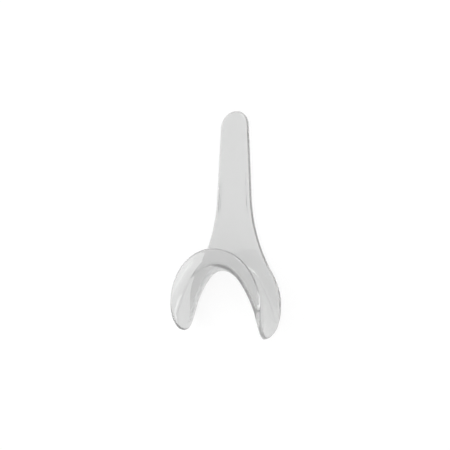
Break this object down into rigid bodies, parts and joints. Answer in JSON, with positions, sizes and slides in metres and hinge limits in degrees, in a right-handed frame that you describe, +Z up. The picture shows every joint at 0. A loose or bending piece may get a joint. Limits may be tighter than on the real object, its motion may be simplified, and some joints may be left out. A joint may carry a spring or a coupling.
{
  "type": "cheek retractor",
  "caption": "Single-ended dental cheek retractor moulded in one piece: a clear flat handle ending in a horseshoe head with a lip channel round it.",
  "frame": {"origin": "on the surface that the part lies on, under the middle of its whole length and width", "axes": "+X across the handle, +Y along the handle from the arm tips to its rounded end, +Z up from the flat back of the handle towards the free lip flange"},
  "size_m": [0.0576, 0.12, 0.021],
  "materials": {
    "clear_plastic": "smooth, glossy, clear injection-moulded plastic with a faint grey tone"
  },
  "bodies": {
    "root": {"retractor": "clear_plastic"}
  },
  "joints": []
}
